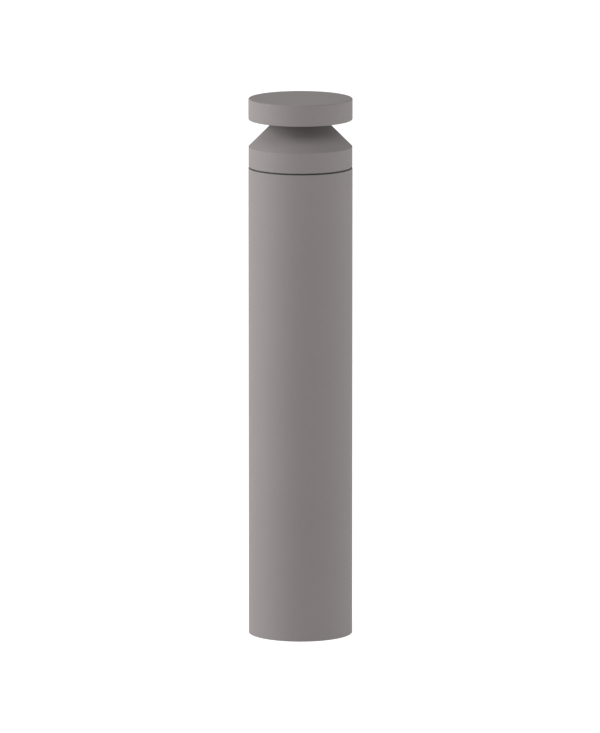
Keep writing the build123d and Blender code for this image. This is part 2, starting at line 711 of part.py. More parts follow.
# ---- Luminaire housing ----
def tray_bosses():
    """Two round bosses that reach up from the tray into the cone's wall."""
    return [rod(BOSS_R, BOSS_Z, CONE_TOP_Z, x) for x in (-BOSS_X, BOSS_X)]


def head_housing():
    """Cast ring and 45-degree cone, with the skirt that drops into the tube."""
    envelope = turned((0, SKIRT_Z), (SPIGOT, SKIRT_Z), (SPIGOT, RING_Z), (RING_R, RING_Z),
                      (RING_R, RING_TOP_Z), (CONE_TOP_R, CONE_TOP_Z), (0, CONE_TOP_Z))
    inner_cone = RING_R + RING_TOP_Z - WALL * sqrt(2)
    hollow = turned((0, SKIRT_Z), (SKIRT_R, SKIRT_Z), (SKIRT_R, inner_cone - SKIRT_R),
                    (inner_cone - DECK_Z, DECK_Z), (0, DECK_Z))
    housing = envelope - hollow
    housing += [boss & envelope for boss in tray_bosses()]
    housing = fillet(rims(housing, RING_R, RING_Z) + rims(housing, RING_R, RING_TOP_Z), CRISP_EDGE)
    housing = chamfer(rims(housing, SPIGOT, SKIRT_Z), COLLAR_CHAMFER)
    housing -= [rod(M5_R + THREAD_PLAY, BOSS_Z, BOSS_Z + TRAY_SCREW_REACH, x) for x in (-BOSS_X, BOSS_X)]
    housing -= rod(NIPPLE_R + THREAD_PLAY, DECK_Z, CONE_TOP_Z)
    housing -= cap_screw_holes(DECK_Z, CONE_TOP_Z)
    return housing - key_slot(SKIRT_Z, UPPER_KEY_Z + KEY_HEIGHT + GAP)


def seam_gasket():
    """Rubber ring that sets back the shadow gap between tube and head."""
    return ring(SPIGOT, RADIUS - SEAM_SETBACK, TUBE_Z + GAP, RING_Z)


def hub_gasket():
    """Flat rubber ring between the cone's top, the cap's hub and the lens."""
    gasket = ring(NIPPLE_R + WALL, HUB_R, CONE_TOP_Z, LENS_Z)
    return gasket - cap_screw_holes(CONE_TOP_Z, LENS_Z)


def cap_screw_holes(low, high):
    """Holes for the screws that pull the cap down onto the cone."""
    return around(rod(M5_R + THREAD_PLAY, low, high, CAP_SCREW_PCR), CAP_SCREWS, 90)


def cap_screws():
    """Screws from inside the cone up into the cap's hub."""
    fixing = Pos(CAP_SCREW_PCR, 0, DECK_Z) * screw(M5_CAP, CAP_SCREW_LENGTH)
    return group(around(fixing, CAP_SCREWS, 90))


def wire_nipple():
    """Hollow threaded tube that carries the lead through the cone's top."""
    return ring(NIPPLE_BORE_R, NIPPLE_R, *NIPPLE_Z)


def nipple_nut():
    """Hexagon nut under the cone's top."""
    low = DECK_Z - NIPPLE_NUT_T
    return hexagon(NIPPLE_NUT_R, low, DECK_Z) - rod(NIPPLE_R + THREAD_PLAY, low, DECK_Z)


# ---- Cap, lens and light source ----
def bezel_screw_holes(low, high):
    """Holes for the screws that hold the bezel to the cap."""
    return around(rod(M3_R + THREAD_PLAY, low, high, BEZEL_SCREW_PCR), BEZEL_SCREWS, 30)


def cap():
    """Cast disc with a ring-shaped cavity for the light source and a solid hub."""
    body = rod(RADIUS, CAP_Z, HEIGHT)
    body = fillet(rims(body, RADIUS, CAP_Z) + rims(body, RADIUS, HEIGHT), CAP_EDGE)
    body -= rod(RECESS_R, CAP_Z, LENS_Z)
    body -= ring(HUB_FOOT_R, LENS_POCKET_R, LENS_Z, SHOULDER_Z)
    body -= ring(HUB_R, CAVITY_R, SHOULDER_Z, ROOF_Z)
    body -= rod(NIPPLE_R + THREAD_PLAY, LENS_Z, LEAD_Z + LEAD_PASSAGE_R)
    body -= across(LEAD_PASSAGE_R, (0, HUB_R + BITE), 0, LEAD_Z)
    body -= cap_screw_holes(LENS_Z, DECK_Z + CAP_SCREW_LENGTH + SHORT)
    body -= bezel_screw_holes(LENS_Z, LENS_Z + M3_REACH)
    return body - board_screw_holes(ROOF_Z, ROOF_Z + BOARD_SCREW_REACH)


def board_screw_holes(low, high):
    """Holes for the screws that hold the board."""
    return around(rod(M3_R + THREAD_PLAY, low, high, BOARD_SCREW_PCR), BOARD_SCREWS, 45)


def board_ring(low, high):
    """Ring with the holes of the board's screws."""
    return ring(*BOARD_R, low, high) - board_screw_holes(low, high)


def leds():
    """Square light sources spread evenly on the board's underside."""
    half = LED_SIZE / 2
    chip = block((LED_PCR - half, LED_PCR + half), (-half, half), (BOARD_Z - LED_T, BOARD_Z))
    return group(around(chip, LEDS))


def board_connector():
    """Plug-in connector where the lead meets the board."""
    half = CONNECTOR_HALF_W
    return block(CONNECTOR_X, (-half, half), (LEAD_Z - LEAD_R, BOARD_Z))


def board_screws():
    """Screws that clamp the board and its pad to the cap's roof."""
    length = ROOF_Z - BOARD_Z + BOARD_SCREW_REACH - SHORT
    fixing = Pos(BOARD_SCREW_PCR, 0, BOARD_Z) * screw(M3_PAN, length)
    return group(around(fixing, BOARD_SCREWS, 45))


def lens_ring():
    """Flat smoke-grey ring that closes the cap's cavity."""
    return ring(HUB_FOOT_R + FIT, LENS_POCKET_R - FIT, LENS_Z, LENS_Z + LENS_T)


def outer_lens_gasket():
    """Rubber ring over the lens's outer edge."""
    return ring(CAVITY_R, LENS_POCKET_R - FIT, LENS_Z + LENS_T, SHOULDER_Z)


def inner_lens_gasket():
    """Rubber ring over the lens's inner edge."""
    return ring(HUB_FOOT_R + FIT, HUB_R, LENS_Z + LENS_T, SHOULDER_Z)


def lens_bezel():
    """Flat metal ring that clamps the lens's outer edge."""
    low = LENS_Z - BEZEL_T
    return ring(BEZEL_INNER_R, RECESS_R - FIT, low, LENS_Z) - bezel_screw_holes(low, LENS_Z)


def bezel_screws():
    """Screws that hold the bezel to the cap."""
    fixing = Pos(BEZEL_SCREW_PCR, 0, LENS_Z - BEZEL_T) * screw(M3_FLAT, BEZEL_T + M3_REACH - SHORT)
    return group(around(fixing, BEZEL_SCREWS, 30))


# ---- Gear tray inside the tube ----
def gear_tray():
    """Folded sheet: two arms under the bosses and a plate that hangs down the tube."""
    arm_top = BOSS_Z
    tray = block((-TRAY_ARM_X, TRAY_ARM_X), (-TRAY_HALF_D, TRAY_HALF_D), (arm_top - TRAY_T, arm_top))
    tray += block((-TRAY_HALF_W, TRAY_HALF_W), (TRAY_FACE_Y, TRAY_HALF_D), (TRAY_BOTTOM_Z, arm_top))
    for edge in (-TRAY_HALF_W, TRAY_HALF_W - TRAY_T):
        lip = ((edge, edge + TRAY_T), (TRAY_FACE_Y, TRAY_HALF_D + TRAY_LIP))
        tray += block(*lip, (TRAY_BOTTOM_Z, arm_top - TRAY_T))
    tray -= [rod(M5_R + THREAD_PLAY, arm_top - TRAY_T, arm_top, x) for x in (-BOSS_X, BOSS_X)]
    tray -= rod(TRAY_PASSAGE_R, arm_top - TRAY_T, arm_top)
    passage = Pos(0, TRAY_FACE_Y, SURGE_LEAD_Z) * from_front(rod(TRAY_SLOT_R, 0, TRAY_T))
    tray -= [Pos(x, 0, 0) * passage for x in (-TRAY_SLOT_X, TRAY_SLOT_X)]
    return tray - driver_screw_holes()


def tray_screws():
    """Two screws that hold the tray to the housing's bosses."""
    fixing = Pos(0, 0, BOSS_Z - TRAY_T) * screw(M5_CAP, TRAY_T + TRAY_SCREW_REACH - SHORT)
    return group(Pos(x, 0, 0) * fixing for x in (-BOSS_X, BOSS_X))


def driver_screw_levels():
    """Levels of the two screws through the driver's ears."""
    return (DRIVER_Z[0] - DRIVER_EAR / 2, DRIVER_Z[1] + DRIVER_EAR / 2)


def driver_screw_holes():
    """Holes along Y through the driver's ears and the tray."""
    hole = from_front(rod(M4_R + THREAD_PLAY, 0, DRIVER_EAR_T + TRAY_T))
    return [Pos(0, TRAY_FACE_Y - DRIVER_EAR_T, level) * hole for level in driver_screw_levels()]


def led_driver():
    """Closed driver case with a fixing ear at each end."""
    half = DRIVER_HALF_W
    body = block((-half, half), (TRAY_FACE_Y - DRIVER_DEPTH, TRAY_FACE_Y), DRIVER_Z)
    body = fillet(body.edges().filter_by(Axis.Z), MOULD_CORNER)
    ear_zs = (DRIVER_Z[0] - DRIVER_EAR, DRIVER_Z[1] + DRIVER_EAR)
    ear_xs = (MOULD_CORNER - half, half - MOULD_CORNER)
    body += block(ear_xs, (TRAY_FACE_Y - DRIVER_EAR_T, TRAY_FACE_Y), ear_zs)
    return body - driver_screw_holes()


def driver_screws():
    """Two screws through the driver's ears."""
    fixing = from_front(screw(M4_PAN, DRIVER_EAR_T + TRAY_T + DRIVER_SCREW_PROUD))
    return group(Pos(0, TRAY_FACE_Y - DRIVER_EAR_T, level) * fixing for level in driver_screw_levels())


def surge_protector():
    """Small potted module on the back of the tray."""
    body = block((-SURGE_HALF_W, SURGE_HALF_W), (TRAY_HALF_D, TRAY_HALF_D + SURGE_DEPTH), SURGE_Z)
    return fillet(body.edges().filter_by(Axis.Y), MOULD_CORNER)


def inlet_pocket():
    """Space that the supply plug enters from below."""
    half = INLET_HALF_W - INLET_WALL
    ys = (TRAY_FACE_Y - INLET_DEPTH + INLET_WALL, TRAY_FACE_Y - INLET_WALL)
    return block((-half, half), ys, (INLET_Z[0], INLET_Z[0] + INLET_POCKET))


def inlet_socket():
    """Three-pole inlet at the foot of the tray."""
    body = block((-INLET_HALF_W, INLET_HALF_W), (TRAY_FACE_Y - INLET_DEPTH, TRAY_FACE_Y), INLET_Z)
    return body - inlet_pocket()


def inlet_pins():
    """Three contact pins in the inlet."""
    roof = INLET_Z[0] + INLET_POCKET
    y = TRAY_FACE_Y - INLET_DEPTH / 2
    xs = (-INLET_PIN_PITCH, 0, INLET_PIN_PITCH)
    return group(rod(INLET_PIN_R, roof - INLET_PIN_LENGTH, roof, x, y) for x in xs)


def lead_along(corners, radii):
    """Round lead along straight runs that are joined by arcs."""
    route = FilletPolyline(*corners, radius=radii)
    return sweep(Plane(origin=route @ 0, z_dir=route % 0) * Circle(LEAD_R), path=route)


def inlet_lead():
    """Lead from the inlet's side, up beside the driver and through the tray to the surge protector."""
    low = INLET_Z[0] + INLET_POCKET + LEAD_R + FIT
    corners = [
        (INLET_HALF_W, SIDE_LEAD_Y, low),
        (TRAY_SLOT_X, SIDE_LEAD_Y, low),
        (TRAY_SLOT_X, SIDE_LEAD_Y, SURGE_LEAD_Z),
        (TRAY_SLOT_X, SURGE_LEAD_Y, SURGE_LEAD_Z),
        (SURGE_HALF_W, SURGE_LEAD_Y, SURGE_LEAD_Z),
    ]
    return lead_along(corners, [4 * LEAD_R, 4 * LEAD_R, 3 * LEAD_R])


def driver_lead():
    """Lead from the surge protector back through the tray, down and into the driver's side."""
    corners = [
        (-SURGE_HALF_W, SURGE_LEAD_Y, SURGE_LEAD_Z),
        (-TRAY_SLOT_X, SURGE_LEAD_Y, SURGE_LEAD_Z),
        (-TRAY_SLOT_X, SIDE_LEAD_Y, SURGE_LEAD_Z),
        (-TRAY_SLOT_X, SIDE_LEAD_Y, DRIVER_LEAD_Z),
        (-DRIVER_HALF_W, SIDE_LEAD_Y, DRIVER_LEAD_Z),
    ]
    return lead_along(corners, [3 * LEAD_R, 4 * LEAD_R, 2 * LEAD_R])


def led_lead():
    """Lead from the driver up through the hollow nipple to the light source's board."""
    start_z = DRIVER_Z[1]
    corners = [
        (0, LEAD_START_Y, start_z),
        (0, LEAD_START_Y, start_z + LEAD_RISE),
        (0, 0, start_z + 2 * LEAD_RISE + LEAD_R),
        (0, 0, LEAD_Z),
        (CONNECTOR_X[0], 0, LEAD_Z),
    ]
    return lead_along(corners, [8 * LEAD_R, 8 * LEAD_R, 3 * LEAD_R])


NODES = {
    "base_plate": base_plate(),
    "base_earth_stud": base_earth_stud(),
    "base_earth_nuts": Pos(EARTH_X, 0, 0) * earth_nuts(PLATE_T),
    "box_bracket": box_bracket(),
    "bracket_screws": bracket_screws(),
    "connection_box": connection_box(),
    "box_screws": box_screws(),
    "lid_hinge_pin": lid_hinge_pin(),
    "outlet_grommet": outlet_grommet(),
    "gland_bodies": gland_bodies(),
    "gland_locknuts": gland_locknuts(),
    "gland_seals": gland_seals(),
    "gland_domes": gland_domes(),
    "din_rail": din_rail(),
    "terminal_block": terminal_block(),
    "terminal_clamps": terminal_clamps(),
    "lever_pin": lever_pin(),
    "fuse_base": fuse_base(),
    "fuse_contacts": fuse_contacts(),
    "connection_box_lid": connection_box_lid(),
    "lid_gasket": lid_gasket(),
    "lid_screws": lid_screws(),
    "fuse_carrier": fuse_carrier(),
    "fuse_link": fuse_link(),
    "fuse_caps": fuse_caps(),
    "bollard_tube": bollard_tube(),
    "set_screws": set_screws(),
    "guide_keys": guide_keys(),
    "tube_earth_stud": tube_earth_stud(),
    "tube_earth_nuts": inward(earth_nuts(TUBE_EARTH_ROOT), TUBE_EARTH_Z),
    "head_housing": head_housing(),
    "seam_gasket": seam_gasket(),
    "hub_gasket": hub_gasket(),
    "wire_nipple": wire_nipple(),
    "nipple_nut": nipple_nut(),
    "cap_screws": cap_screws(),
    "cap": cap(),
    "thermal_pad": board_ring(BOARD_Z + BOARD_T, ROOF_Z),
    "led_board": board_ring(BOARD_Z, BOARD_Z + BOARD_T),
    "leds": leds(),
    "board_connector": board_connector(),
    "board_screws": board_screws(),
    "lens_ring": lens_ring(),
    "outer_lens_gasket": outer_lens_gasket(),
    "inner_lens_gasket": inner_lens_gasket(),
    "lens_bezel": lens_bezel(),
    "bezel_screws": bezel_screws(),
    "gear_tray": gear_tray(),
    "tray_screws": tray_screws(),
    "led_driver": led_driver(),
    "driver_screws": driver_screws(),
    "surge_protector": surge_protector(),
    "inlet_socket": inlet_socket(),
    "inlet_pins": inlet_pins(),
    "inlet_lead": inlet_lead(),
    "driver_lead": driver_lead(),
    "led_lead": led_lead(),
}
for pole, pole_x in POLE_XS.items():
    NODES["lever_" + pole] = lever(pole_x)

os.makedirs("parts", exist_ok=True)
for name, shape in NODES.items():
    export_step(shape, f"parts/{name}.step")
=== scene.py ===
import json
from math import cos, pi, radians, sin

import bmesh
import bpy
from mathutils import Matrix, Vector


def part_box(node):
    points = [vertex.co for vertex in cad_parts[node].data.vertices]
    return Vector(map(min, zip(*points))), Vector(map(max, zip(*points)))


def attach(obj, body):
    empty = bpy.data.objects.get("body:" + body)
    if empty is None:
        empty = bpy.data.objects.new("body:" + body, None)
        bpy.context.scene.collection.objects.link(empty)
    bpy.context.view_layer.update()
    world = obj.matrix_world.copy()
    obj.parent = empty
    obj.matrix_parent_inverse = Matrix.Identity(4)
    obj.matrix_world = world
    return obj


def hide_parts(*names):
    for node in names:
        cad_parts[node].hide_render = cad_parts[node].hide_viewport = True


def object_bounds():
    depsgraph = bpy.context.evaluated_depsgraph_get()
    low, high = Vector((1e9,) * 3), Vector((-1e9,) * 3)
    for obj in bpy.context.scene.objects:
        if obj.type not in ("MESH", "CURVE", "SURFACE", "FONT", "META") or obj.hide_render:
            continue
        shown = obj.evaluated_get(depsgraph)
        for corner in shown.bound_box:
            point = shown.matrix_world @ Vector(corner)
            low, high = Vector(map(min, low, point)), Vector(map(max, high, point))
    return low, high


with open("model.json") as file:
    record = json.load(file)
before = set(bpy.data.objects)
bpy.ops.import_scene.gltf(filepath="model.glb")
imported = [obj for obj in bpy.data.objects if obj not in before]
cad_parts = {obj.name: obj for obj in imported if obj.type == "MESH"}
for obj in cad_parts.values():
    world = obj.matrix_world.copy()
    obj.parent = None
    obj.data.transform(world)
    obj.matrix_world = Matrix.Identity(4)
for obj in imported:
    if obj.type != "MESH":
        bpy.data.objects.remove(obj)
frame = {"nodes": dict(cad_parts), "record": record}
CAD_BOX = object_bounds()
NODES = frame["nodes"]
HEIGHT = CAD_BOX[1].z
MM = 0.001
MERGE = 1e-7
ROUND_STEPS = 36                      # a multiple of six, so that hexagons keep their corners
THREAD_PLAY = 0.05 * MM
M6_PITCH = 1.0 * MM
FINE_PITCH = 1.5 * MM
EARTH_NUT_SPACE = 1.0 * MM            # room for a cable's ring between two nuts
NIPPLE_WALL = 2.5 * MM
GLAND_R = 8.0 * MM
GLAND_BORE = 6.0 * MM
GLAND_CORNER = 11.2 * MM
GLAND_FLANGE_T = 5.0 * MM
GLAND_FLUTES = 18
GLAND_FLUTE_DEPTH = 0.45 * MM
ROOTED = 0.5 * MM                     # how deep most ribs and plates reach into their part
SUNK = 0.2 * MM                       # how deep the shallow ones do
FINE_EDGE = 0.2 * MM                  # rounding of plates, small rings and grips
SMALL_EDGE = 0.3 * MM                 # rounding of narrow ribs
ROUNDING = 0.4 * MM                   # rounding of wider ribs and collars
FULL_EDGE = 0.5 * MM                  # rounding of bushes and housings
POLES = ("live", "neutral", "earth")
LEVER_LIP = 1.2 * MM
WIRE_R = 1.8 * MM
DRIVER_EAR = 10.0 * MM
LEAD_R = 2.0 * MM
ANCHORS = 4
ANCHOR_R = 5.5 * MM
ANCHOR_PCR = 70.0 * MM
LEDS = 24
LED_SIZE = 3.5 * MM


# ---- Camera ----
def add_camera():
    """Long lens, a little above the middle of the post, aimed straight at it."""
    distance = 19.1
    elevation = radians(9.67)
    side_step = -0.0009
    target = Vector((side_step, 0, HEIGHT * 0.4993))
    data = bpy.data.cameras.new("camera")
    data.lens = 512.9
    data.sensor_width = 36.0
    data.clip_end = 200.0
    camera = bpy.data.objects.new("camera", data)
    bpy.context.scene.collection.objects.link(camera)
    camera.location = target + distance * Vector((0, -cos(elevation), sin(elevation)))
    camera.rotation_euler = (target - camera.location).to_track_quat("-Z", "Y").to_euler()
    bpy.context.scene.camera = camera


# ---- Light and floor ----
def add_area_light(name, azimuth, distance, height, power):
    """Square soft panel that faces the post; azimuth 0 is in front and 90 is on the right."""
    size = 2.0
    aim = Vector((0, 0, 0.6 * HEIGHT))
    angle = radians(azimuth)
    place = Vector((distance * sin(angle), -distance * cos(angle), height))
    data = bpy.data.lights.new(name, "AREA")
    data.size = size
    data.energy = power
    light = bpy.data.objects.new(name, data)
    bpy.context.scene.collection.objects.link(light)
    light.location = place
    light.rotation_euler = (aim - place).to_track_quat("-Z", "Y").to_euler()


def add_lights():
    """Soft panels on the left and above the front, weak ones behind and on the right, a dim room."""
    add_area_light("front_high", 25, 2.0, 3.6, 35)
    add_area_light("left_high", -90, 3.5, 2.2, 75)
    add_area_light("left_low", -90, 4.0, 0.5, 65)
    add_area_light("right_low", 110, 4.0, 0.5, 40)
    add_area_light("rear_left", -130, 2.0, 3.6, 20)
    world = bpy.data.worlds.new("studio")
    bpy.context.scene.world = world
    world.use_nodes = True
    background = world.node_tree.nodes["Background"]
    background.inputs["Color"].default_value = (1.0, 1.0, 1.0, 1.0)
    background.inputs["Strength"].default_value = 0.45


def add_floor():
    """Wide white studio floor that glows like an evenly lit light table."""
    half = 40.0
    mesh = bpy.data.meshes.new("floor")
    shape = bmesh.new()
    bmesh.ops.create_grid(shape, x_segments=8, y_segments=8, size=half)
    shape.to_mesh(mesh)
    shape.free()
    floor = bpy.data.objects.new("floor", mesh)
    bpy.context.scene.collection.objects.link(floor)
    finish = Finish("floor", (0.25, 0.25, 0.25), 1.0)
    finish.set("Specular IOR Level", 0.0)
    finish.set("Emission Color", (1.0, 1.0, 1.0, 1.0))
    finish.set("Emission Strength", 1.0)
    mesh.materials.append(finish.material)


# ---- Materials ----
class Finish:
    """A Principled material with helpers for procedural colour, roughness and bump."""

    def __init__(self, name, color, roughness, metallic=0.0):
        self.material = bpy.data.materials.new(name)
        self.material.use_nodes = True
        self.tree = self.material.node_tree
        self.shader = self.tree.nodes["Principled BSDF"]
        self.set("Roughness", roughness)
        self.set("Metallic", metallic)
        self.set("Base Color", (*color, 1.0))
        self.color = color
        self.coordinates = self.tree.nodes.new("ShaderNodeTexCoord").outputs["Object"]

    def set(self, socket, value):
        """Fixed value on one of the shader's sockets."""
        self.shader.inputs[socket].default_value = value

    def node(self, kind, operation=None, **inputs):
        """New node with some of its inputs set or linked."""
        made = self.tree.nodes.new(kind)
        if operation:
            made.operation = operation
        for name, value in inputs.items():
            socket = made.inputs[name.replace("_", " ")]
            if isinstance(value, bpy.types.NodeSocket):
                self.tree.links.new(value, socket)
            else:
                socket.default_value = value
        return made

    def stretched(self, stretch):
        """Object coordinates squeezed along some axes."""
        return self.node("ShaderNodeMapping", Vector=self.coordinates, Scale=stretch).outputs["Vector"]

    def noise(self, scale, detail=2.0, stretch=(1, 1, 1)):
        """Cloudy noise with a number of cells per metre."""
        place = self.stretched(stretch)
        return self.node("ShaderNodeTexNoise", Scale=scale, Detail=detail, Vector=place).outputs["Fac"]

    def cells(self, scale):
        """Distance to the nearest of many scattered points."""
        return self.node("ShaderNodeTexVoronoi", Scale=scale, Vector=self.coordinates).outputs["Distance"]

    def ramp(self, value, low, high, at_low, at_high):
        """Value mapped from one range to another and held at its ends."""
        mapped = self.node("ShaderNodeMapRange", Value=value, From_Min=low, From_Max=high,
                           To_Min=at_low, To_Max=at_high)
        return mapped.outputs["Result"]

    def shade(self, *values):
        """Multiply the base colour by several values around 1."""
        shade = values[0]
        for value in values[1:]:
            product = self.node("ShaderNodeMath", "MULTIPLY", Value=shade)
            self.tree.links.new(value, product.inputs[1])
            shade = product.outputs["Value"]
        color = self.node("ShaderNodeVectorMath", "SCALE", Vector=self.color, Scale=shade)
        self.link(color.outputs["Vector"], "Base Color")

    def link(self, value, socket):
        """Drive one of the shader's sockets."""
        self.tree.links.new(value, self.shader.inputs[socket])

    def bump(self, value, height):
        """Surface relief of a height in metres."""
        self.link(self.node("ShaderNodeBump", Height=value, Distance=height).outputs["Normal"], "Normal")


def powder_coat():
    """Fine matt powder coat: a soft grain, sparse dark flecks and a faint cloudiness."""
    finish = Finish("powder_coat", (0.208, 0.1865, 0.1865), 0.7)
    finish.set("Specular IOR Level", 0.35)
    cloud = finish.ramp(finish.noise(6.0, 3.0), 0.3, 0.7, 0.985, 1.015)
    grain = finish.ramp(finish.noise(900.0, 2.0), 0.3, 0.7, 0.97, 1.03)
    flecks = finish.ramp(finish.noise(400.0, 1.0), 0.66, 0.74, 1.0, 0.9)
    finish.shade(cloud, grain, flecks)
    finish.link(finish.ramp(finish.noise(500.0), 0.3, 0.7, 0.64, 0.76), "Roughness")
    finish.bump(finish.noise(1400.0, 3.0), 0.03 * MM)
    return finish.material


def cast_alloy():
    """Blasted aluminium casting: even pits, slow tone changes and a satin glint."""
    finish = Finish("cast_alloy", (0.56, 0.56, 0.57), 0.5, 1.0)
    finish.shade(finish.ramp(finish.noise(25.0, 4.0), 0.3, 0.7, 0.86, 1.06),
                 finish.ramp(finish.noise(700.0, 3.0), 0.3, 0.7, 0.9, 1.06))
    finish.link(finish.ramp(finish.noise(90.0, 4.0), 0.3, 0.7, 0.42, 0.6), "Roughness")
    finish.bump(finish.noise(900.0, 4.0), 0.12 * MM)
    return finish.material


def zinc_steel():
    """Zinc-plated sheet: faint rolling lines along Z and pale blotches."""
    finish = Finish("zinc_steel", (0.60, 0.61, 0.63), 0.36, 1.0)
    finish.shade(finish.ramp(finish.noise(40.0, 5.0), 0.3, 0.7, 0.84, 1.05),
                 finish.ramp(finish.noise(1500.0, 2.0, (1, 1, 0.02)), 0.3, 0.7, 0.94, 1.03))
    finish.link(finish.ramp(finish.noise(60.0, 4.0), 0.3, 0.7, 0.28, 0.46), "Roughness")
    finish.bump(finish.noise(1800.0, 2.0, (1, 1, 0.03)), 0.02 * MM)
    return finish.material


def turned_metal(name, color, roughness):
    """Bright turned metal with fine tool marks and handling haze."""
    finish = Finish(name, color, roughness, 1.0)
    finish.shade(finish.ramp(finish.noise(130.0, 3.0), 0.3, 0.7, 0.9, 1.05))
    haze = finish.ramp(finish.noise(250.0, 4.0), 0.35, 0.7, roughness - 0.06, roughness + 0.12)
    finish.link(haze, "Roughness")
    finish.bump(finish.noise(2600.0, 2.0, (0.1, 0.1, 1)), 0.012 * MM)
    return finish.material


def rubber(name, color, roughness, bloom):
    """Matt rubber with a dusty bloom and a skin of tiny pores."""
    finish = Finish(name, color, roughness)
    finish.set("Specular IOR Level", 0.3)
    finish.shade(finish.ramp(finish.noise(70.0, 4.0), 0.4, 0.75, 1.0, 1.0 + bloom),
                 finish.ramp(finish.cells(2600.0), 0.0, 0.5, 0.8, 1.0))
    patches = finish.ramp(finish.noise(160.0, 3.0), 0.3, 0.7, roughness - 0.08, roughness + 0.08)
    finish.link(patches, "Roughness")
    finish.bump(finish.cells(2200.0), 0.03 * MM)
    return finish.material


def moulded_plastic(name, color, roughness, texture=0.03):
    """Moulded plastic: spark-eroded texture, slight flow clouds and a soft sheen."""
    finish = Finish(name, color, roughness)
    finish.shade(finish.ramp(finish.noise(18.0, 3.0), 0.3, 0.7, 0.965, 1.03),
                 finish.ramp(finish.noise(1500.0, 2.0), 0.3, 0.7, 0.975, 1.02))
    patches = finish.ramp(finish.noise(420.0, 3.0), 0.3, 0.7, roughness - 0.07, roughness + 0.07)
    finish.link(patches, "Roughness")
    finish.bump(finish.noise(1700.0, 3.0), texture * MM)
    return finish.material


def fuse_glass():
    """Clear thin glass with a faint smear."""
    finish = Finish("fuse_glass", (0.86, 0.92, 0.92), 0.05)
    finish.set("Transmission Weight", 0.9)
    finish.set("IOR", 1.47)
    finish.link(finish.ramp(finish.noise(500.0, 3.0), 0.4, 0.7, 0.03, 0.16), "Roughness")
    return finish.material


def satin_lens():
    """Smoke-grey satin plastic that lets a little light through."""
    finish = Finish("satin_lens", (0.14, 0.14, 0.14), 0.34)
    finish.set("Transmission Weight", 0.45)
    finish.set("IOR", 1.49)
    finish.shade(finish.ramp(finish.noise(18.0, 3.0), 0.3, 0.7, 0.965, 1.03))
    finish.link(finish.ramp(finish.noise(420.0, 3.0), 0.3, 0.7, 0.3, 0.4), "Roughness")
    finish.bump(finish.noise(1700.0, 3.0), 0.01 * MM)
    return finish.material


def materials():
    """One material for each of the record's slots."""
    return {
        "powder_coat": powder_coat(),
        "cast_alloy": cast_alloy(),
        "zinc_steel": zinc_steel(),
        "stainless": turned_metal("stainless", (0.62, 0.62, 0.63), 0.27),
        "brass": turned_metal("brass", (0.74, 0.56, 0.27), 0.26),
        "nickel": turned_metal("nickel", (0.76, 0.74, 0.70), 0.18),
        "black_rubber": rubber("black_rubber", (0.055, 0.055, 0.056), 0.78, 0.5),
        "pad_grey": rubber("pad_grey", (0.34, 0.35, 0.37), 0.7, 0.08),
        "lead_sheath": rubber("lead_sheath", (0.03, 0.03, 0.031), 0.5, 0.4),
        "box_plastic": moulded_plastic("box_plastic", (0.47, 0.48, 0.49), 0.46),
        "dark_plastic": moulded_plastic("dark_plastic", (0.045, 0.046, 0.05), 0.42),
        "terminal_plastic": moulded_plastic("terminal_plastic", (0.60, 0.60, 0.58), 0.4),
        "lever_plastic": moulded_plastic("lever_plastic", (0.83, 0.24, 0.02), 0.3, 0.01),
        "driver_white": moulded_plastic("driver_white", (0.78, 0.78, 0.76), 0.36),
        "board_white": moulded_plastic("board_white", (0.78, 0.79, 0.78), 0.35, 0.01),
        "led_yellow": moulded_plastic("led_yellow", (0.86, 0.66, 0.12), 0.3, 0.01),
        "satin_lens": satin_lens(),
        "fuse_glass": fuse_glass(),
    }


def coat_nodes():
    """Give every CAD node the material of its slot."""
    for entry in frame["record"]["subparts"]:
        mesh = NODES[entry["node"]].data
        mesh.materials.clear()
        mesh.materials.append(MATERIALS[entry["material_slot"]])


# ---- Making pieces ----
def add_piece(name, shape, slot, body, replaced=(), smooth=0.6):
    """Turn a bmesh into a piece with its slot's material that rides on a body."""
    bmesh.ops.remove_doubles(shape, verts=shape.verts, dist=MERGE)
    bmesh.ops.recalc_face_normals(shape, faces=shape.faces)
    for face in shape.faces:
        face.smooth = True
    for edge in shape.edges:
        if len(edge.link_faces) == 2:
            edge.smooth = edge.calc_face_angle() < smooth
    mesh = bpy.data.meshes.new(name)
    shape.to_mesh(mesh)
    shape.free()
    mesh.materials.append(MATERIALS[slot])
    piece = bpy.data.objects.new(name, mesh)
    bpy.context.scene.collection.objects.link(piece)
    if replaced:
        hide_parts(*replaced)
    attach(piece, body)


def placed(shape, matrix):
    """Move a bmesh and hand it on."""
    shape.transform(matrix)
    return shape


def merged(shapes):
    """One bmesh made of several."""
    whole = bmesh.new()
    for shape in shapes:
        mesh = bpy.data.meshes.new("part")
        shape.to_mesh(mesh)
        shape.free()
        whole.from_mesh(mesh)
        bpy.data.meshes.remove(mesh)
    return whole


def looped_skin(rows):
    """Closed skin through a ring of closed rows of points, all with the same number of points."""
    shape = bmesh.new()
    rows = [[shape.verts.new(point) for point in row] for row in rows]
    for row, following in zip(rows, rows[1:] + rows[:1]):
        for index in range(len(row)):
            after = (index + 1) % len(row)
            shape.faces.new((row[index], following[index], following[after], row[after]))
    return shape


def turned_skin(outline, steps):
    """Closed skin round Z; outline(angle) lists (radius, height) points in a closed loop."""
    angles = [2 * pi * step / steps for step in range(steps)]
    return looped_skin([[(r * cos(a), r * sin(a), z) for r, z in outline(a)] for a in angles])


def hexagon_radius(angle, corner):
    """Radius of a hexagon at an angle from one of its corners."""
    sixth = pi / 3
    return corner * cos(sixth / 2) / cos(angle % sixth - sixth / 2)


